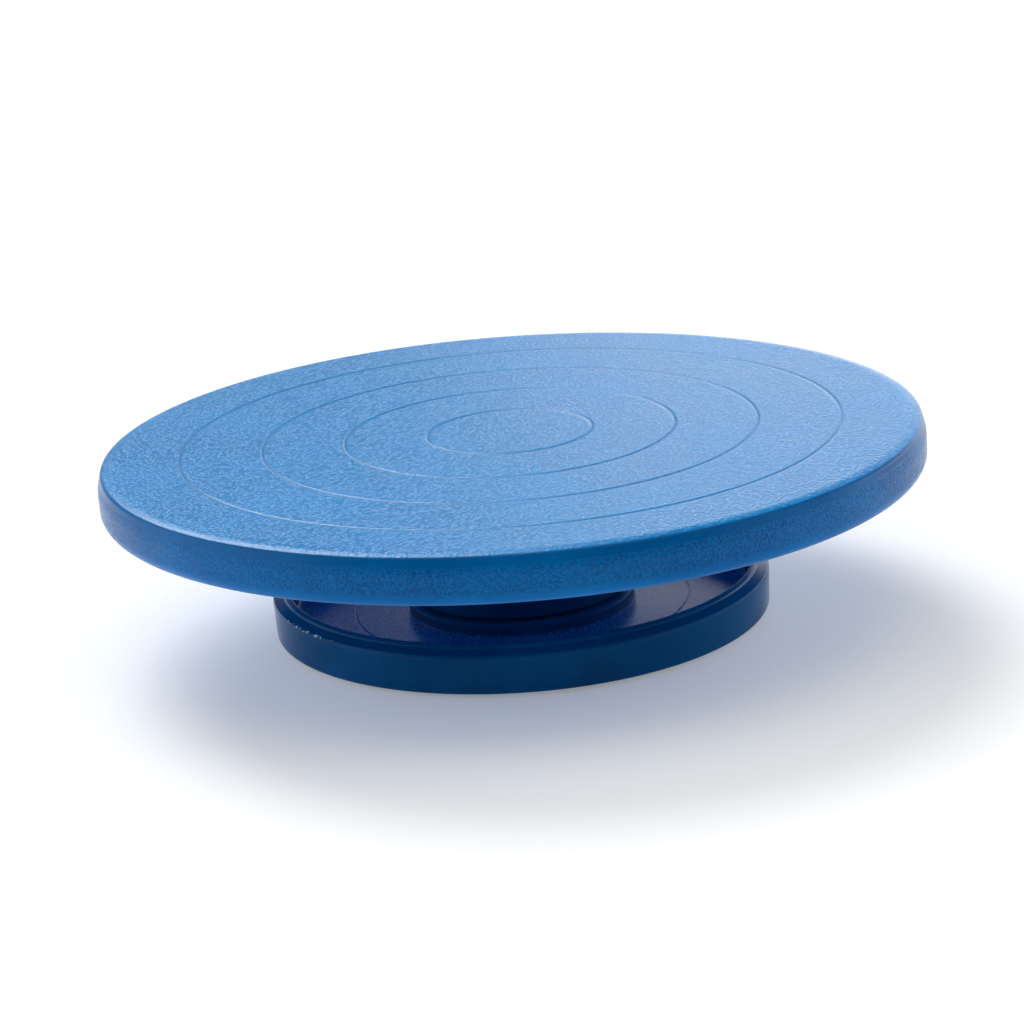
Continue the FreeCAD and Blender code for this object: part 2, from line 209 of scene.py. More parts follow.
class StageSettings(bpy.types.PropertyGroup):
    camera_distance: bpy.props.FloatProperty(
        name="Camera distance",
        description="From the middle of the head's top to the camera",
        default=1.2016,
        unit="LENGTH",
    )
    camera_elevation: bpy.props.FloatProperty(
        name="Camera elevation",
        description="How high the camera stands above the head's top, as an angle",
        default=math.radians(15.24),
        subtype="ANGLE",
    )
    camera_roll: bpy.props.FloatProperty(
        name="Camera roll",
        description="How far the camera is tilted to one side",
        default=math.radians(-4.275),
        subtype="ANGLE",
    )
    camera_lens: bpy.props.FloatProperty(
        name="Lens",
        description="Focal length on a 36 mm wide sensor",
        default=116.37,
        unit="CAMERA",
    )


# Mesh code


def rounded_outline(corners):
    """Points of an open outline. A corner is (radius, height) or (radius, height, corner round)."""
    points = []
    last = len(corners) - 1
    for i, corner in enumerate(corners):
        here = Vector(corner[:2])
        cut = corner[2] if len(corner) > 2 else 0.0
        if i in (0, last) or not cut:
            points.append(here)
            continue
        to_last = (Vector(corners[i - 1][:2]) - here).normalized()
        to_next = (Vector(corners[i + 1][:2]) - here).normalized()
        half = to_last.angle(to_next) / 2
        reach = cut / math.tan(half)
        start, end = here + to_last * reach, here + to_next * reach
        centre = here + (to_last + to_next).normalized() * (cut / math.sin(half))
        steps = max(2, math.ceil((math.pi - 2 * half) / ARC_STEP))
        first, final = start - centre, end - centre
        sweep = first.angle_signed(final)
        points += [centre + Matrix.Rotation(-sweep * k / steps, 2) @ first for k in range(steps + 1)]
    return with_supports(points)


def with_supports(points):
    """The same outline with a point close to each end of every long straight stretch."""
    out = [points[0]]
    for here, following in zip(points, points[1:]):
        run = following - here
        if run.length > 5 * SUPPORT:
            step = run.normalized() * SUPPORT
            out += [here + step, following - step]
        out.append(following)
    return out


def ring_of(radius, height, angles):
    return [(radius * math.cos(a), radius * math.sin(a), height) for a in angles]


def even_angles(count=ROUND_COLUMNS):
    return [TURN * i / count for i in range(count)]


def lofted(name, rings, material=None, closed=False):
    """A closed mesh of quads between rings of as many points, capped at both ends unless it closes."""
    count = len(rings[0])
    points = [p for ring in rings for p in ring]
    faces = []
    pairs = [(i, i + 1) for i in range(len(rings) - 1)]
    if closed:
        pairs.append((len(rings) - 1, 0))
    for low, high in pairs:
        for j in range(count):
            k = (j + 1) % count
            faces.append((low * count + j, low * count + k, high * count + k, high * count + j))
    if not closed:
        faces.append(tuple(reversed(range(count))))
        faces.append(tuple(range((len(rings) - 1) * count, len(rings) * count)))
    return mesh_object(name, points, faces, material)


def mesh_object(name, points, faces, material=None):
    mesh = bpy.data.meshes.new(name)
    mesh.from_pydata(points, [], faces)
    outward = bmesh.new()
    outward.from_mesh(mesh)
    bmesh.ops.recalc_face_normals(outward, faces=outward.faces)
    outward.to_mesh(mesh)
    outward.free()
    mesh.shade_smooth()
    if material:
        mesh.materials.append(material)
    made = bpy.data.objects.new(name, mesh)
    bpy.context.scene.collection.objects.link(made)
    return made


def turned(name, corners, material, closed=False, angles=None):
    """A turned piece. Its outline runs round its section, so a closed one leaves a hole on the axis."""
    angles = angles or even_angles()
    outline = rounded_outline(corners + corners[:1]) if closed else rounded_outline(corners)
    if closed:
        outline = outline[:-1]
    return lofted(name, [ring_of(p.x, p.y, angles) for p in outline], material, closed)


def sharpen(made, angle=math.radians(35)):
    """Marks the edges that stay crisp."""
    made.data.set_sharp_from_angle(angle=angle)
    return made


def cut_away(made, cutters):
    """Subtracts the cutters from a piece and removes them."""
    for cutter in cutters:
        modifier = made.modifiers.new("Cut", "BOOLEAN")
        modifier.operation = "DIFFERENCE"
        modifier.solver = "EXACT"
        modifier.object = cutter
    bpy.context.view_layer.update()
    evaluated = made.evaluated_get(bpy.context.evaluated_depsgraph_get())
    mesh = bpy.data.meshes.new_from_object(evaluated)
    made.modifiers.clear()
    made.data = mesh
    for cutter in cutters:
        bpy.data.objects.remove(cutter)
    return made


def set_down(made, body, slot, *nodes):
    """Hides the frame's pieces that a finished piece stands for and puts it on the body it rides on. The
    finish it takes (slot) is not used.
    """
    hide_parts(*nodes)
    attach(made, body)
    return made


# Shader code


class Socket:
    """An output of a node. Arithmetic on it adds Math nodes to the same material."""

    def __init__(self, graph, output):
        self.graph = graph
        self.output = output

    def math(self, operation, *values):
        return self.graph.node("ShaderNodeMath", {"operation": operation}, dict(enumerate(values)))

    def __add__(self, other):
        return self.math("ADD", self, other)

    __radd__ = __add__

    def __mul__(self, other):
        return self.math("MULTIPLY", self, other)

    __rmul__ = __mul__

    def __sub__(self, other):
        return self.math("SUBTRACT", self, other)

    def __rsub__(self, other):
        return self.math("SUBTRACT", other, self)

    def __pow__(self, other):
        return self.math("POWER", self, other)

    def size(self):
        """The value without its sign."""
        return self.math("ABSOLUTE", self)

    def between(self, low, high, start=0.0, end=1.0):
        """Goes smoothly from start to end as this goes from low to high."""
        settings = {"interpolation_type": "SMOOTHSTEP"}
        values = {"Value": self, "From Min": low, "From Max": high, "To Min": start, "To Max": end}
        return self.graph.node("ShaderNodeMapRange", settings, values)

    def part(self, name):
        """Another output of the same node."""
        return Socket(self.graph, self.output.node.outputs[name])


class Graph:
    """The nodes of one material or world."""

    def __init__(self, owner):
        owner.use_nodes = True
        self.tree = owner.node_tree
        self.tree.nodes.clear()

    def node(self, kind, settings=None, values=None):
        """Adds a node, sets its settings first and then its sockets, and returns its first output."""
        made = self.tree.nodes.new(kind)
        for name, value in (settings or {}).items():
            setattr(made, name, value)
        for name, value in (values or {}).items():
            if isinstance(value, Socket):
                self.tree.links.new(value.output, made.inputs[name])
            else:
                made.inputs[name].default_value = value
        return Socket(self, made.outputs[0]) if made.outputs else made

    def place(self):
        """Coordinates that stay with the piece, in metres."""
        return self.node("ShaderNodeTexCoord").part("Object")

    def noise(self, place, size, detail=2.0, roughness=0.5, distortion=0.0):
        """Noise whose lumps are about size across."""
        values = {
            "Vector": place,
            "Scale": 1 / size,
            "Detail": detail,
            "Roughness": roughness,
            "Distortion": distortion,
        }
        return self.node("ShaderNodeTexNoise", values=values)

    def domes(self, place, size):
        """Round lumps packed side by side: 1 on top of a lump, 0 between lumps that are about size apart."""
        cells = self.node("ShaderNodeTexVoronoi", {"feature": "F1"}, {"Vector": place, "Scale": 1 / size})
        return cells.between(0.0, 0.65, 1.0, 0.0)

    def mix(self, factor, low, high):
        """A colour between two colours."""
        values = {"Factor": factor, 6: low, 7: high}
        return self.node("ShaderNodeMix", {"data_type": "RGBA"}, values).part(2)

    def heights(self, height, distance, strength=1.0, normal=None):
        """A normal that shows the heights as relief, over an earlier one if it is given."""
        values = {"Height": height, "Distance": distance, "Strength": strength}
        if normal:
            values["Normal"] = normal
        return self.node("ShaderNodeBump", values=values)

    def radius(self, place):
        """Distance from the spin axis."""
        axes = self.node("ShaderNodeSeparateXYZ", values={0: place})
        x, y = axes.part("X"), axes.part("Y")
        return (x * x + y * y) ** 0.5

    def height(self, place):
        """Height above the bench."""
        return self.node("ShaderNodeSeparateXYZ", values={0: place}).part("Z")

    def finish(self, **values):
        """Ends a material in one principled surface. A socket's name has underscores for its spaces."""
        names = {k.replace("_", " "): v for k, v in values.items()}
        shader = self.node("ShaderNodeBsdfPrincipled", values=names)
        self.node("ShaderNodeOutputMaterial", values={"Surface": shader})


def shade(colour, factor):
    return tuple(min(1.0, c * factor) for c in colour[:3]) + (1.0,)


def new_material(name):
    material = bpy.data.materials.new(name)
    return material, Graph(material)


def pebbled_paint(settings):
    """Head paint: pebbled on the top, wrinkled on the side, smooth in the rings and round the edges, with
    painted shade between the pebbles, in the wrinkles, in the rings, on the rounded shoulder and over the
    whole side.
    """
    material, g = new_material("pebbled_paint")
    place = g.place()
    level, radius = g.height(place), g.radius(place)
    pebbles = g.domes(place, settings.pebble_size)
    folds = g.noise(place, 0.5 * settings.pebble_size, detail=1.0, roughness=0.4, distortion=0.3)
    wrinkles = folds.between(0.36, 0.58)
    from_ring = radius.math("PINGPONG", radius, RING_STEP / 2)
    flat_top = 1 - from_ring.between(0.7 * MM, 1.5 * MM, 1.0, 0.0) * radius.between(10 * MM, 20 * MM)
    on_top = level.between(HEAD_TOP - 1.0 * MM, HEAD_TOP - 0.3 * MM)
    on_side = level.between(HEAD_BOTTOM + 3.0 * MM, HEAD_BOTTOM + 5.5 * MM) * level.between(
        HEAD_TOP - 4.2 * MM, HEAD_TOP - 3.0 * MM, 1.0, 0.0
    )
    outside = radius.between(HEAD_RADIUS - 4 * MM, HEAD_RADIUS - 2 * MM)
    upper_half = level.between(HEAD_BOTTOM + 7 * MM, HEAD_BOTTOM + 9 * MM)
    # Mask of the rounded shoulder between the top and the side, which gets painted shade below.
    shoulder = outside * (1 - on_top) * (1 - on_side) * upper_half
    flat_top = flat_top * radius.between(FLAT_TOP_END - 1.4 * MM, FLAT_TOP_END, 1.0, 0.35)
    raised = pebbles * flat_top * on_top + wrinkles * on_side * 0.6
    skin = g.noise(place, 0.45 * MM, detail=1.0)
    broad = g.noise(place, 42 * MM, detail=2.0)
    # Painted shade: the paint between the pebbles is darker and their tops lighter, as shade in the hollows.
    on_top_colour = g.mix(pebbles, shade(settings.head_colour, 0.66), shade(settings.head_colour, 1.08))
    # Painted shade: the pits between the wrinkles on the side are darker, as shade in the creases.
    on_side_colour = g.mix(wrinkles, shade(settings.rim_shade_colour, 0.70), shade(settings.rim_shade_colour, 1.04))
    on_side_colour = g.mix(on_side, shade(settings.rim_shade_colour, 1.0), on_side_colour)
    # Painted shade: the centring rings are darkened along their middle, as shade in the grooves.
    ring_shade = from_ring.between(0.2 * MM, 0.75 * MM, 0.5, 0.0) * radius.between(10 * MM, 20 * MM) * on_top
    on_top_colour = g.mix(ring_shade, on_top_colour, shade(settings.head_colour, 0.35))
    # Painted shade: the head's side takes the darker rim colour, which stands for the shade on the side.
    colour = g.mix(outside * (1 - on_top), on_top_colour, on_side_colour)
    # Painted shade: the rounded shoulder is darker still, for the dark band where little light falls on it.
    colour = g.mix(shoulder, colour, shade(settings.rim_shade_colour, 0.80))
    colour = g.mix(broad.between(0.35, 0.7, 0.0, 0.12), colour, shade(settings.head_colour, 1.25))
    normal = g.heights(skin, 0.01 * MM, 0.5)
    normal = g.heights(raised, settings.pebble_height, 1.0, normal)
    roughness = broad.between(0.3, 0.7, 0.19, 0.22) + (1 - pebbles) * 0.03
    g.finish(Base_Color=colour, Roughness=roughness, Normal=normal, IOR=1.2)
    return material


def gloss_paint(settings):
    """Base paint: gloss in a darker blue that is painted shade under the head, with a clear coat for sheen
    and a grain painted lighter as painted reflection on the tray's floor, and chips on the outer edge.
    """
    material, g = new_material("gloss_paint")
    place = g.place()
    radius, level = g.radius(place), g.height(place)
    peel = g.noise(place, 2.4 * MM, detail=1.5, roughness=0.4)
    grain = g.noise(place, 0.9 * MM, detail=3.0, roughness=0.6)
    broad = g.noise(place, 26 * MM, detail=3.0)
    in_tray = level.between(FLOOR_TOP + 0.8 * MM, FLOOR_TOP + 0.3 * MM) * radius.between(
        BASE_RADIUS - 5 * MM, BASE_RADIUS - 6 * MM
    )
    in_tray = in_tray * level.between(FLOOR_TOP - 1.5 * MM, FLOOR_TOP - 1.0 * MM)
    across_edge = (radius - LIP_CORNER[0]).size()
    up_edge = (level - LIP_CORNER[1]).size()
    edge = across_edge.between(0.9 * MM, 0.3 * MM) * up_edge.between(0.9 * MM, 0.3 * MM)
    leftward = g.node("ShaderNodeSeparateXYZ", values={0: place}) * -1.0
    patch = leftward.between(58 * MM, 76 * MM) * leftward.between(78 * MM, 92 * MM, 1.0, 0.0)
    chips = edge * g.noise(place, 1.7 * MM, detail=3.0) * (0.6 + 0.4 * patch)
    chips = chips.between(0.52, 0.58)
    # Painted shade: the base's dark blue stands for the shade under the head.
    shaded_blue = settings.shaded_base_colour
    colour = g.mix(broad.between(0.3, 0.7), shade(shaded_blue, 0.85), shade(shaded_blue, 1.1))
    # Painted reflection: the grain on the tray's floor is painted lighter, for the bright room reflected in
    # the glossy floor. The clear coat below adds real reflection.
    colour = g.mix(in_tray * grain.between(0.35, 0.65), colour, shade(shaded_blue, 2.8))
    colour = g.mix(chips, colour, (0.42, 0.55, 0.66, 1.0))
    normal = g.heights(peel, 0.05 * MM, 0.6)
    normal = g.heights(grain * (0.15 + 0.85 * in_tray), 0.13 * MM, 1.0, normal)
    roughness = broad.between(0.3, 0.7, 0.14, 0.22) + chips * 0.3
    coat = {"Coat_Weight": in_tray * 0.5, "Coat_Roughness": 0.2, "Coat_IOR": 1.3}
    g.finish(Base_Color=colour, Roughness=roughness, Normal=normal, IOR=1.15, **coat)
    return material


def turned_steel(name, colour, ring_size, rough):
    """Bare steel with the fine rings that turning or grinding leaves."""
    material, g = new_material(name)
    place = g.place()
    marks = 0.0
    for along in (g.radius(place), g.height(place)):
        values = {"W": along, "Scale": 1 / ring_size}
        marks = g.node("ShaderNodeTexNoise", {"noise_dimensions": "1D"}, values) * 0.5 + marks
    stain = g.noise(place, 9 * MM, detail=3.0)
    base = g.mix(stain.between(0.35, 0.7), shade(colour, 0.85), shade(colour, 1.05))
    normal = g.heights(marks, 0.01 * MM, 0.5)
    roughness = marks.between(0.3, 0.7, rough * 0.8, rough * 1.2)
    g.finish(Base_Color=base, Roughness=roughness, Normal=normal, Metallic=1.0)
    return material


def plain_grained(name, colour, grain_size, grain_height, rough):
    """Rubber, polymer or blackened steel: one colour with a fine moulded or etched grain."""
    material, g = new_material(name)
    place = g.place()
    grain = g.noise(place, grain_size, detail=2.0)
    wear = g.noise(place, 8 * MM, detail=2.0)
    base = g.mix(wear.between(0.35, 0.7), shade(colour, 0.8), shade(colour, 1.3))
    roughness = grain.between(0.3, 0.7, rough * 0.85, rough * 1.1)
    g.finish(Base_Color=base, Roughness=roughness, Normal=g.heights(grain, grain_height, 0.7))
    return material


# Head


def rib_offsets(half):
    """Distances from a rib's middle plane at which its rounded crest, its wall and its root fillet change."""
    crest = [0.0, half - 0.8 * MM, half - 0.45 * MM, half - 0.18 * MM, half]
    root = [half + RIB_DRAFT + RIB_FILLET * k / 4 for k in range(5)]
    return crest + root


def rib_share(offset, half):
    """How much of a rib's height the surface has at this distance from the rib's middle plane."""
    if offset <= half:
        over = max(0.0, offset - half + 0.8 * MM) / (0.8 * MM)
        return 1.0 - 0.08 * over**2
    run = (offset - half - RIB_DRAFT) / RIB_FILLET
    return 0.26 * (1.0 - run) ** 2


def head_columns(half):
    """The head's columns as (rib, side, offset) near a rib, or (rib, 0, part of the way to the next rib)."""
    offsets = rib_offsets(half)
    columns = []
    for rib in range(RIB_COUNT):
        columns += [(rib, -1, offset) for offset in reversed(offsets[1:])]
        columns += [(rib, 1, offset) for offset in offsets]
        columns += [(rib, 0, k / BETWEEN_RIBS) for k in range(1, BETWEEN_RIBS)]
    return columns


def column_angle(column, radius, widest):
    rib, side, value = column
    radius = max(radius, BOSS_RADIUS)
    middle = TURN * rib / RIB_COUNT
    if side:
        return middle + side * math.asin(value / radius)
    spread = math.asin(widest / radius)
    return middle + spread + (TURN / RIB_COUNT - 2 * spread) * value


def head_top_outline(settings):
    """From inside the first centring ring, over the rim and a little way up the rim's inner wall."""
    half, depth = settings.groove_half_width, settings.groove_depth
    corners = [(RING_STEP - 2 * MM, HEAD_TOP)]
    for ring in range(1, RING_COUNT + 1):
        for k in range(-GROOVE_STEPS, GROOVE_STEPS + 1):
            share = k / GROOVE_STEPS
            dip = depth * (1 + math.cos(math.pi * share)) / 2
            corners.append((RING_STEP * ring + half * share, HEAD_TOP - dip))
    corners.append((FLAT_TOP_END, HEAD_TOP, 3 * settings.top_round))
    corners.append((HEAD_RADIUS - 1.4 * MM, HEAD_TOP - 0.7 * MM, 0.45 * settings.top_round))
    corners.append((HEAD_RADIUS, HEAD_TOP - 6 * MM, 2 * settings.top_round))
    corners.append((HEAD_RADIUS, HEAD_BOTTOM, settings.bottom_round))
    corners.append((RIM_INSIDE_BOTTOM, HEAD_BOTTOM, 0.8 * MM))
    corners.append(RIM_WALL_START)
    return rounded_outline(corners)


def stretches(outline, counts):
    """The outline sampled evenly along its length between the radii where the ribs' ends begin and stop."""
    limits = (RIB_RUN[0], RIB_RUN[1], 0.0)
    parts, part = [], [outline[0]]
    for here, following in zip(outline, outline[1:]):
        limit = limits[len(parts)]
        if following.x < limit < here.x:
            share = (here.x - limit) / (here.x - following.x)
            crossing = here.lerp(following, share)
            parts.append(part + [crossing])
            part = [crossing]
        part.append(following)
    parts.append(part)
    sampled = []
    for part, count in zip(parts, counts):
        sampled += even_samples(part, count)
    return sampled


def even_samples(points, count):
    """count points along a polyline, its end included and its start left out."""
    lengths = [0.0]
    for here, following in zip(points, points[1:]):
        lengths.append(lengths[-1] + (following - here).length)
    out = []
    leg = 0
    for k in range(1, count + 1):
        reach = lengths[-1] * k / count
        while leg < len(points) - 2 and lengths[leg + 1] < reach:
            leg += 1
        share = (reach - lengths[leg]) / max(lengths[leg + 1] - lengths[leg], 1e-9)
        out.append(points[leg].lerp(points[leg + 1], min(share, 1.0)))
    return out


def head_casting(settings, material):
    """The head in one mesh: grooved top, rounded rim and, underneath, a boss and filleted radial ribs."""
    half = settings.rib_half_width
    widest = rib_offsets(half)[-1]
    columns = head_columns(half)
    web = rounded_outline(
        [
            RIM_WALL_START,
            (RIM_INSIDE_TOP, WEB_UNDERSIDE, 3 * MM),
            (BOSS_RADIUS + 1 * MM, WEB_UNDERSIDE, 4 * MM),
            (BOSS_RADIUS + 0.2 * MM, BOSS_BOTTOM + 1.2 * MM),
        ]
    )
    crest = rounded_outline(
        [
            RIM_WALL_START,
            (RIM_INSIDE_BOTTOM - 0.55 * MM, RIB_BOTTOM, 1.5 * MM),
            (BOSS_RADIUS + 11 * MM, RIB_BOTTOM, 4 * MM),
            (BOSS_RADIUS + 3 * MM, BOSS_BOTTOM + 1.2 * MM, 1.5 * MM),
            (BOSS_RADIUS + 0.2 * MM, BOSS_BOTTOM + 1.2 * MM),
        ]
    )
    boss = rounded_outline(
        [
            (BOSS_RADIUS + 0.2 * MM, BOSS_BOTTOM + 1.2 * MM),
            (BOSS_RADIUS, BOSS_BOTTOM, 0.6 * MM),
            (SPIGOT_RADIUS + FIT, BOSS_BOTTOM),
            (SPIGOT_RADIUS + FIT, BOSS_BOTTOM + SPIGOT_DEPTH + 0.4 * MM),
        ]
    )

    def ring(below, above=None):
        points = []
        for column in columns:
            share = rib_share(column[2], half) if above and column[1] else 0.0
            here = below.lerp(above, share) if above else below
            angle = column_angle(column, here.x, widest)
            points.append((here.x * math.cos(angle), here.x * math.sin(angle), here.y))
        return points

    rings = [ring(p) for p in head_top_outline(settings)]
    counts = (16, 12, 18)
    rings += [ring(low, high) for low, high in zip(stretches(web, counts), stretches(crest, counts))]
    rings += [ring(p) for p in boss[1:]]
    casting = lofted("head_casting", rings, material)
    reach = SPINDLE_FLANGE_BOTTOM + 14 * MM
    radius, circle, count = 2.55 * MM, SPINDLE_SCREWS[3], SPINDLE_SCREWS[4]
    holes = [upright_cutter(radius, BOSS_BOTTOM - 1 * MM, reach, circle, a) for a in spread(count, 45)]
    return sharpen(cut_away(casting, holes))


class TURNTABLE_OT_head(bpy.types.Operator):
    """Cast head with its centring rings, rim, ribs and boss"""

    bl_idname = "turntable.head"
    bl_label = "Head"

    def execute(self, context):
        settings = context.scene.turntable_head
        casting = head_casting(settings, pebbled_paint(context.scene.turntable_paint))
        set_down(casting, "head", "head_paint", "wheel_head")
        return {"FINISHED"}


class TURNTABLE_OT_skirt(bpy.types.Operator):
    """Round skirt under the head that keeps clay off the bearing housing"""

    bl_idname = "turntable.skirt"
    bl_label = "Dust skirt"

    def execute(self, context):
        inside = HUB_RADIUS - SKIRT_WALL
        skirt = turned(
            "skirt_cup",
            [
                (SPIGOT_RADIUS + FIT, BOSS_BOTTOM),
                (HUB_RADIUS, BOSS_BOTTOM, 0.5 * MM),
                (HUB_RADIUS, SKIRT_BOTTOM, 0.9 * MM),
                (inside, SKIRT_BOTTOM, 0.9 * MM),
                (inside, SKIRT_FLANGE_BOTTOM, 1.5 * MM),
                (SPIGOT_RADIUS + FIT, SKIRT_FLANGE_BOTTOM),
            ],
            base_paint(context),
            closed=True,
        )
        low, high = SKIRT_FLANGE_BOTTOM - 1 * MM, BOSS_BOTTOM + 1 * MM
        _, _, _, circle, count = SPINDLE_SCREWS
        cut_away(skirt, [upright_cutter(2.7 * MM, low, high, circle, a) for a in spread(count, 45)])
        set_down(sharpen(skirt), "head", "base_paint", "dust_skirt")
        return {"FINISHED"}


# Base


def base_paint(context):
    """The one gloss paint that the base, the housing, the cover and the skirt share."""
    return bpy.data.materials.get("gloss_paint") or gloss_paint(context.scene.turntable_paint)


class TURNTABLE_OT_base(bpy.types.Operator):
    """Cast base: a shallow tray with an upright wall, a sloping shoulder and a raised lip"""

    bl_idname = "turntable.base"
    bl_label = "Base casting"

    def execute(self, context):
        hole = HOUSING_SPIGOT_RADIUS + FIT
        mark, mark_half, mark_depth = FLOOR_RING_RADIUS, 0.4 * MM, 0.3 * MM
        casting = turned(
            "base_casting",
            [
                (hole, FLOOR_TOP),
                (mark - mark_half, FLOOR_TOP, 0.08 * MM),
                (mark - mark_half + 0.05 * MM, FLOOR_TOP - mark_depth, 0.08 * MM),
                (mark + mark_half - 0.05 * MM, FLOOR_TOP - mark_depth, 0.08 * MM),
                (mark + mark_half, FLOOR_TOP, 0.08 * MM),
                (TRAY_END, FLOOR_TOP, 3 * MM),
                (TRAY_END + 0.7 * MM, LIP_TOP, 0.35 * MM),
                (BASE_RADIUS - 5.0 * MM, LIP_TOP, 0.4 * MM),
                (BASE_RADIUS - 4.0 * MM, LIP_TOP - 0.7 * MM, 0.4 * MM),
                (BASE_RADIUS - 3.7 * MM, LIP_TOP - 1.4 * MM, 0.25 * MM),
                (BASE_RADIUS - 0.25 * MM, LIP_TOP - 2.9 * MM, 0.45 * MM),
                (BASE_RADIUS, LIP_TOP - 4.4 * MM, 1 * MM),
                (BASE_RADIUS - 0.5 * MM, BASE_EDGE, 1.2 * MM),
                (BASE_RADIUS - 5.6 * MM, BASE_EDGE, 0.6 * MM),
                (TRAY_END, FLOOR_BOTTOM, 0.4 * MM),
                (hole, FLOOR_BOTTOM),
            ],
            base_paint(context),
            closed=True,
        )
        cut_away(casting, countersinks(HOUSING_SCREWS, FLOOR_BOTTOM, 45))
        set_down(sharpen(casting), "base", "base_paint", "base_dish")
        return {"FINISHED"}


class TURNTABLE_OT_housing(bpy.types.Operator):
    """Turned bearing housing that stands on the base's floor inside the skirt"""

    bl_idname = "turntable.housing"
    bl_label = "Bearing housing"

    def execute(self, context):
        bore, shoulder = 23.5 * MM, 20.5 * MM
        upper_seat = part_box("upper_outer_race")[0].z
        lower_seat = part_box("lower_outer_race")[1].z
        cover_seat = COVER_TOP + 0.05 * MM
        housing = turned(
            "housing_turning",
            [
                (bore, upper_seat),
                (bore, HOUSING_TOP, 0.4 * MM),
                (HOUSING_RADIUS, HOUSING_TOP, 1.2 * MM),
                (HOUSING_RADIUS, HOUSING_FLANGE_TOP, 2 * MM),
                (HOUSING_FLANGE_RADIUS, HOUSING_FLANGE_TOP, 1.5 * MM),
                (HOUSING_FLANGE_RADIUS, FLOOR_TOP),
                (HOUSING_SPIGOT_RADIUS, FLOOR_TOP),
                (HOUSING_SPIGOT_RADIUS, FLOOR_BOTTOM, 0.4 * MM),
                (COVER_RADIUS + 2 * FIT, FLOOR_BOTTOM),
                (COVER_RADIUS + 2 * FIT, cover_seat),
                (bore, cover_seat),
                (bore, lower_seat),
                (shoulder, lower_seat),
                (shoulder, upper_seat),
            ],
            base_paint(context),
            closed=True,
        )
        low = FLOOR_BOTTOM - 1 * MM
        _, _, length, circle, count = COVER_SCREWS
        high = FLOOR_BOTTOM + length + 0.6 * MM
        holes = [upright_cutter(1.55 * MM, low, high, circle, a) for a in spread(count, 90)]
        cut_away(housing, holes + countersinks(HOUSING_SCREWS, FLOOR_BOTTOM, 45))
        set_down(sharpen(housing), "base", "base_paint", "bearing_housing")
        return {"FINISHED"}


class TURNTABLE_OT_cover(bpy.types.Operator):
    """Thin disc that closes the housing from below"""

    bl_idname = "turntable.cover"
    bl_label = "Bottom cover"

    def execute(self, context):
        dish = 0.5 * MM
        cover = turned(
            "cover_disc",
            [
                (1 * MM, COVER_TOP),
                (COVER_RADIUS, COVER_TOP, 0.3 * MM),
                (COVER_RADIUS, FLOOR_BOTTOM, 0.3 * MM),
                (19 * MM, FLOOR_BOTTOM, 1 * MM),
                (18 * MM, FLOOR_BOTTOM + dish, 1 * MM),
                (1 * MM, FLOOR_BOTTOM + dish),
            ],
            base_paint(context),
        )
        cut_away(cover, countersinks(COVER_SCREWS, FLOOR_BOTTOM, 90))
        set_down(sharpen(cover), "base", "base_paint", "bottom_cover")
        return {"FINISHED"}


class TURNTABLE_OT_feet(bpy.types.Operator):
    """Rubber pads with moulded grip rings under the base"""

    bl_idname = "turntable.feet"
    bl_label = "Rubber feet"

    def execute(self, context):
        rubber = plain_grained("foot_rubber", (0.022, 0.022, 0.024), 0.5 * MM, 0.03 * MM, 0.75)
        for index in range(1, 5):
            low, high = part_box(f"rubber_foot_{index}")
            outside = (high.x - low.x) / 2
            corners = [(0.5 * MM, high.z), (outside, high.z, 0.1 * MM), (outside - 0.4 * MM, low.z, 0.6 * MM)]
            for groove in range(3):
                middle = outside - (2.2 + 1.9 * groove) * MM
                corners += [
                    (middle + 0.45 * MM, low.z, 0.1 * MM),
                    (middle + 0.25 * MM, low.z + 0.4 * MM, 0.1 * MM),
                    (middle - 0.25 * MM, low.z + 0.4 * MM, 0.1 * MM),
                    (middle - 0.45 * MM, low.z, 0.1 * MM),
                ]
            corners.append((0.5 * MM, low.z))
            pad = turned(f"foot_pad_{index}", corners, rubber, angles=even_angles(72))
            middle = (low + high) / 2
            pad.data.transform(Matrix.Translation((middle.x, middle.y, 0)))
            set_down(sharpen(pad), "base", "foot_rubber", f"rubber_foot_{index}")
        return {"FINISHED"}


# Screws


def spread(count, start):
    return [math.radians(start) + TURN * i / count for i in range(count)]


def upright_cutter(radius, low, high, circle, angle):
    """A cylinder to subtract, standing on the screw circle."""
    cutter = lofted("cutter", [ring_of(radius, z, even_angles(48)) for z in (high, low)])
    cutter.data.transform(Matrix.Translation((circle * math.cos(angle), circle * math.sin(angle), 0)))
    return cutter


def countersinks(screws, seat, start):
    """Cutters for the holes that take a set of countersunk screws from below."""
    thread, head, length, circle, count = screws
    cutters = []
    for angle in spread(count, start):
        outline = [(thread + FIT, seat + length), (thread + FIT, seat + LAND + head - thread)]
        outline += [(head + FIT, seat + LAND), (head + FIT, seat - 1 * MM)]
        cutter = lofted("cutter", [ring_of(r, z, even_angles(48)) for r, z in outline])
        cutter.data.transform(Matrix.Translation((circle * math.cos(angle), circle * math.sin(angle), 0)))
        cutters.append(cutter)
    return cutters


def hexagon_radius(across_flats, angle):
    return across_flats / 2 / math.cos((angle % math.radians(60)) - math.radians(30))


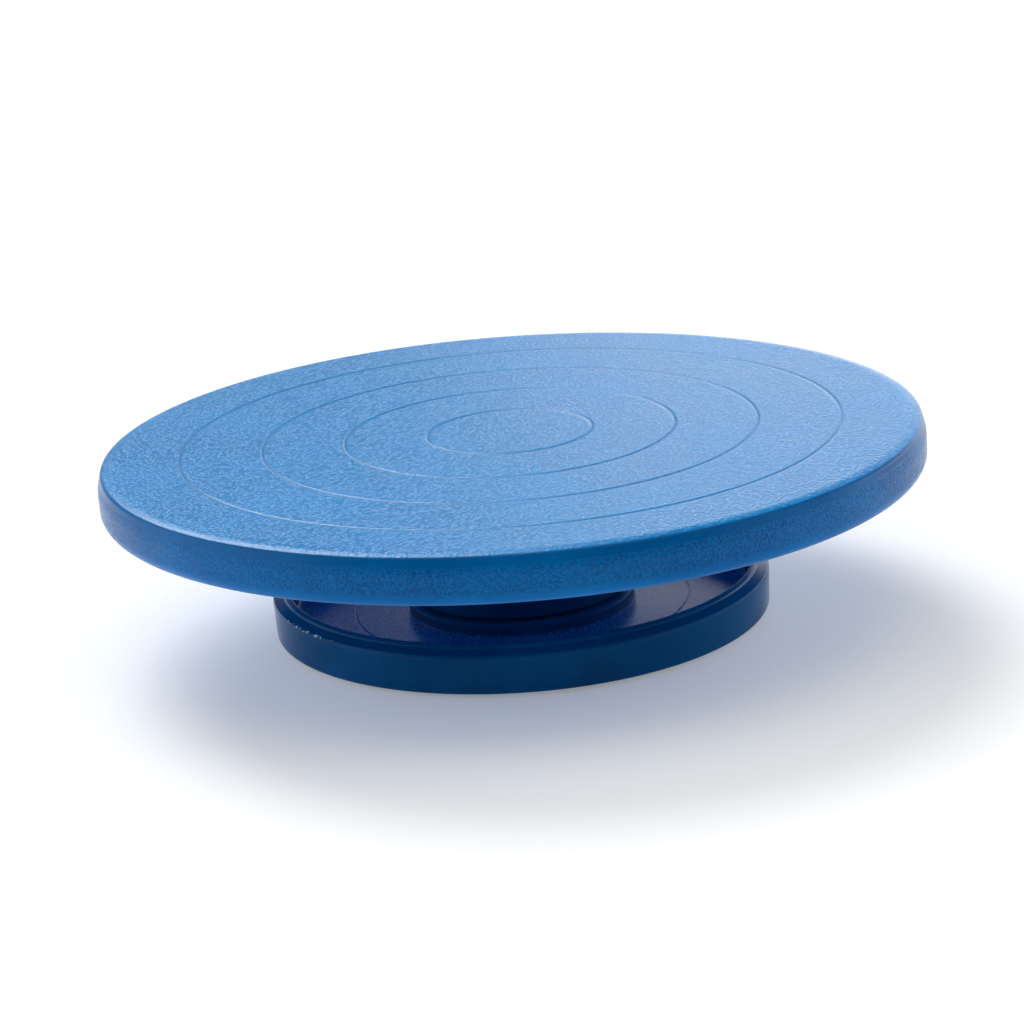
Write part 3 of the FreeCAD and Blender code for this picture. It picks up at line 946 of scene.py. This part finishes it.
def screw_points(screws, seat):
    """Rings of one hexagon-socket countersunk screw pointing up, with a real helical thread."""
    thread, head, length, _, _ = screws
    angles = even_angles(48)
    pitch = 0.32 * thread
    socket, depth = 1.3 * thread, 0.9 * thread
    rings = [ring_of(0.2 * MM, seat + depth + 0.3 * MM, angles)]

    def hexagon(scale, z):
        reaches = [hexagon_radius(socket, a) * scale for a in angles]
        return [(reach * math.cos(a), reach * math.sin(a), z) for reach, a in zip(reaches, angles)]

    rings += [hexagon(0.97, seat + depth), hexagon(1.0, seat + depth - 0.05 * MM)]
    rings += [hexagon(1.0, seat + 0.15 * MM), hexagon(1.07, seat)]
    rings += [ring_of(r, z, angles) for r, z in ((head - 0.12 * MM, seat), (head, seat + 0.1 * MM))]
    cone = seat + LAND + head - thread
    rings += [ring_of(r, z, angles) for r, z in ((head, seat + LAND), (thread, cone))]
    tip = seat + length
    turns = int((tip - cone - 0.8 * MM) / pitch * THREAD_STEPS)
    for k in range(turns + 1):
        z = cone + 0.3 * MM + pitch * k / THREAD_STEPS
        fade = min(1.0, k / THREAD_STEPS, (turns - k) / THREAD_STEPS)
        ring = []
        for a in angles:
            phase = (k / THREAD_STEPS - a / TURN) % 1.0
            r = thread - 0.6 * pitch * fade * (1 - abs(2 * phase - 1))
            ring.append((r * math.cos(a), r * math.sin(a), z))
        rings.append(ring)
    rings += [ring_of(thread - 0.35 * MM, tip, angles)]
    return rings


def screw_set(name, screws, seat, start, body, node, material):
    """All the screws of one circle, as one piece."""
    _, _, _, circle, count = screws
    rings = screw_points(screws, seat)
    points, faces = [], []
    for angle in spread(count, start):
        one = lofted("screw", rings)
        shift = Matrix.Translation((circle * math.cos(angle), circle * math.sin(angle), 0))
        first = len(points)
        points += [shift @ v.co for v in one.data.vertices]
        faces += [tuple(first + i for i in p.vertices) for p in one.data.polygons]
        bpy.data.objects.remove(one)
    made = mesh_object(name, points, faces, material)
    set_down(sharpen(made), body, "black_screw", node)


class TURNTABLE_OT_screws(bpy.types.Operator):
    """Three sets of socket screws: spindle to head, housing to base and cover to housing"""

    bl_idname = "turntable.screws"
    bl_label = "Screws"

    def execute(self, context):
        black = plain_grained("black_steel", (0.03, 0.03, 0.034), 0.6 * MM, 0.01 * MM, 0.38)
        head_seat = SPINDLE_FLANGE_BOTTOM
        screw_set("spindle_screw_set", SPINDLE_SCREWS, head_seat, 45, "head", "spindle_screws", black)
        screw_set("housing_screw_set", HOUSING_SCREWS, FLOOR_BOTTOM, 45, "base", "housing_screws", black)
        screw_set("cover_screw_set", COVER_SCREWS, FLOOR_BOTTOM, 90, "base", "cover_screws", black)
        return {"FINISHED"}


# Spindle and bearings


class TURNTABLE_OT_spindle(bpy.types.Operator):
    """Finishes for the spindle and the bearings, whose shapes come with the frame"""

    bl_idname = "turntable.spindle"
    bl_label = "Spindle and bearings"

    def execute(self, context):
        ground = turned_steel("ground_steel", (0.56, 0.57, 0.60), 0.12 * MM, 0.28)
        zinc = turned_steel("zinc_steel", (0.62, 0.64, 0.66), 0.35 * MM, 0.36)
        bearing = turned_steel("bearing_steel", (0.66, 0.66, 0.68), 0.08 * MM, 0.12)
        polymer = plain_grained("cage_polymer", (0.62, 0.52, 0.32), 0.4 * MM, 0.01 * MM, 0.5)
        finishes = {
            ground: ("spindle", "race_spacer"),
            zinc: ("lock_washer", "spindle_locknut", "upper_shields", "lower_shields"),
            bearing: tuple(f"{b}_{p}" for b in BEARINGS for p in ("inner_race", "outer_race", "balls")),
            polymer: tuple(f"{b}_cage" for b in BEARINGS),
        }
        for material, names in finishes.items():
            for name in names:
                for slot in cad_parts[name].material_slots:
                    slot.material = material
        return {"FINISHED"}


# Stage


def stage_floor():
    material, g = new_material("pale_floor")
    place = g.place()
    paper = g.noise(place, 0.35, detail=2.0)
    colour = g.mix(paper.between(0.3, 0.7), (0.86, 0.87, 0.88, 1.0), (0.90, 0.90, 0.90, 1.0))
    g.finish(Base_Color=colour, Roughness=0.9, Emission_Color=(1.0, 1.0, 1.0, 1.0), Emission_Strength=0.25)
    mesh = bpy.data.meshes.new("floor")
    corners = ring_of(12.0, 0.0, even_angles(96))
    mesh.from_pydata(corners, [], [tuple(range(len(corners)))])
    mesh.materials.append(material)
    made = bpy.data.objects.new("floor", mesh)
    bpy.context.scene.collection.objects.link(made)


def studio_sky():
    """A dim room with a window, three soft boxes and a pale backdrop that is brighter on the right."""
    world = bpy.data.worlds.new("studio")
    bpy.context.scene.world = world
    g = Graph(world)
    toward = g.node("ShaderNodeSeparateXYZ", values={0: g.node("ShaderNodeTexCoord").part("Generated")})
    across, back, up = toward, toward.part("Y"), toward.part("Z")
    right_part = across.between(-0.05, 0.05)
    backdrop = up.between(0.0, 0.7, 1.0, 0.0) * (0.5 + 2.0 * right_part)
    strength = backdrop * back.between(0.0, 0.5)
    for azimuth, elevation, inner, outer, power in SOFT_BOXES:
        a, e = math.radians(azimuth), math.radians(elevation)
        middle = (math.sin(a) * math.cos(e), math.cos(a) * math.cos(e), math.sin(e))
        alignment = across * middle[0] + back * middle[1] + up * middle[2]
        edges = [math.cos(math.radians(angle)) for angle in (outer, inner)]
        strength = strength + alignment.between(*edges, 0.0, power)
    sky = g.node("ShaderNodeBackground", values={"Color": (1.0, 1.0, 1.0, 1.0), "Strength": strength})
    g.node("ShaderNodeOutputWorld", values={"Surface": sky})


def stage_camera(settings):
    data = bpy.data.cameras.new("camera")
    data.lens = settings.camera_lens
    data.sensor_width = 36
    camera = bpy.data.objects.new("camera", data)
    e = settings.camera_elevation
    away = Vector((0, -math.cos(e), math.sin(e)))
    camera.location = Vector((0, 0, HEAD_TOP)) + away * settings.camera_distance
    turn = Matrix.Rotation(math.pi / 2 - e, 3, "X")
    turn = turn @ Matrix.Rotation(CAMERA_YAW, 3, "Y") @ Matrix.Rotation(CAMERA_PITCH, 3, "X")
    camera.rotation_mode = "QUATERNION"
    camera.rotation_quaternion = (turn @ Matrix.Rotation(settings.camera_roll, 3, "Z")).to_quaternion()
    bpy.context.scene.collection.objects.link(camera)
    bpy.context.scene.camera = camera


class TURNTABLE_OT_stage(bpy.types.Operator):
    """Pale floor, soft studio light and the camera"""

    bl_idname = "turntable.stage"
    bl_label = "Stage"

    def execute(self, context):
        stage_camera(context.scene.turntable_stage)
        stage_floor()
        studio_sky()
        context.scene.view_settings.view_transform = "Standard"
        return {"FINISHED"}


class TURNTABLE_PT_panel(bpy.types.Panel):
    """Lists the turntable's pieces in the order in which they are built"""

    bl_idname = "TURNTABLE_PT_panel"
    bl_label = "Sculpting turntable"
    bl_space_type = "VIEW_3D"
    bl_region_type = "UI"
    bl_category = "Turntable"

    def draw(self, context):
        scene = context.scene
        for settings in (scene.turntable_head, scene.turntable_paint, scene.turntable_stage):
            for name in settings.__annotations__:
                self.layout.prop(settings, name)
        for operator in OPERATORS:
            self.layout.operator(operator.bl_idname)


SETTINGS = {
    "turntable_head": HeadSettings,
    "turntable_paint": PaintSettings,
    "turntable_stage": StageSettings,
}
OPERATORS = (
    TURNTABLE_OT_stage,
    TURNTABLE_OT_base,
    TURNTABLE_OT_housing,
    TURNTABLE_OT_cover,
    TURNTABLE_OT_feet,
    TURNTABLE_OT_spindle,
    TURNTABLE_OT_skirt,
    TURNTABLE_OT_head,
    TURNTABLE_OT_screws,
)


def register():
    for group in SETTINGS.values():
        bpy.utils.register_class(group)
    for name, group in SETTINGS.items():
        setattr(bpy.types.Scene, name, bpy.props.PointerProperty(type=group))
    for operator in OPERATORS:
        bpy.utils.register_class(operator)
    bpy.utils.register_class(TURNTABLE_PT_panel)


def unregister():
    bpy.utils.unregister_class(TURNTABLE_PT_panel)
    for operator in reversed(OPERATORS):
        bpy.utils.unregister_class(operator)
    for name, group in SETTINGS.items():
        delattr(bpy.types.Scene, name)
        bpy.utils.unregister_class(group)


def main():
    register()
    for operator in OPERATORS:
        getattr(bpy.ops.turntable, operator.bl_idname.split(".")[1])()


if __name__ == "__main__":
    main()
